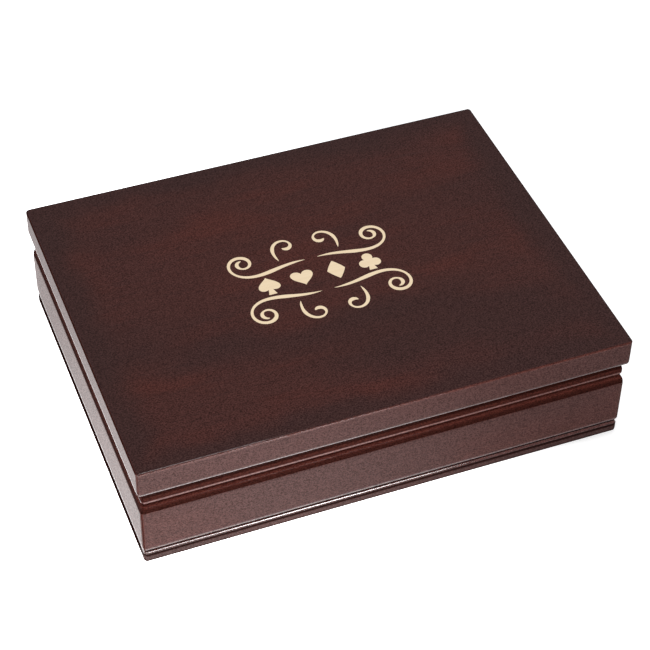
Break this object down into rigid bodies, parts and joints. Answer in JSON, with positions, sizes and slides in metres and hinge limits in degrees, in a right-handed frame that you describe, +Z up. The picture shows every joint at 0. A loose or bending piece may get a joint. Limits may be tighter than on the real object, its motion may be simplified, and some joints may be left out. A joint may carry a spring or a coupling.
{
  "type": "playing card box",
  "caption": "Hinged box of dark lacquered wood with moulded edges, felt-lined inside with wells for decks of playing cards and a row of dice.",
  "frame": {"origin": "middle of the underside, on the surface that the box stands on", "axes": "+Z up, +X along the front from left to right, +Y from the front towards the hinges"},
  "size_m": [0.197, 0.1538, 0.0511],
  "materials": {
    "lacquered_wood": "satin",
    "felt": "matte",
    "baize": "matte",
    "brass_plate": "satin",
    "brass_pin": "satin",
    "brass_screw": "satin"
  },
  "bodies": {
    "base": {"base_felt": "baize", "bottom_board": "lacquered_wood", "wall_front": "lacquered_wood", "wall_right": "lacquered_wood", "wall_back": "lacquered_wood", "wall_left": "lacquered_wood", "insert_floor": "felt", "insert_frame": "felt", "hinge_left_leaf_base": "brass_plate", "hinge_left_pin": "brass_pin", "hinge_left_screw_base_1": "brass_screw", "hinge_left_screw_base_2": "brass_screw", "hinge_right_leaf_base": "brass_plate", "hinge_right_pin": "brass_pin", "hinge_right_screw_base_1": "brass_screw", "hinge_right_screw_base_2": "brass_screw"},
    "lid": {"lid_rail_front": "lacquered_wood", "lid_rail_right": "lacquered_wood", "lid_rail_back": "lacquered_wood", "lid_rail_left": "lacquered_wood", "lid_panel": "lacquered_wood", "lid_lining": "felt", "hinge_left_leaf_lid": "brass_plate", "hinge_left_screw_lid_1": "brass_screw", "hinge_left_screw_lid_2": "brass_screw", "hinge_right_leaf_lid": "brass_plate", "hinge_right_screw_lid_1": "brass_screw", "hinge_right_screw_lid_2": "brass_screw"}
  },
  "joints": [
    {"name": "lid_hinge", "type": "hinge", "parent": "base", "child": "lid", "pos_m": [0, 0.07465, 0.03195], "axis": [-1, 0, 0], "range_deg": [0, 105]}
  ]
}
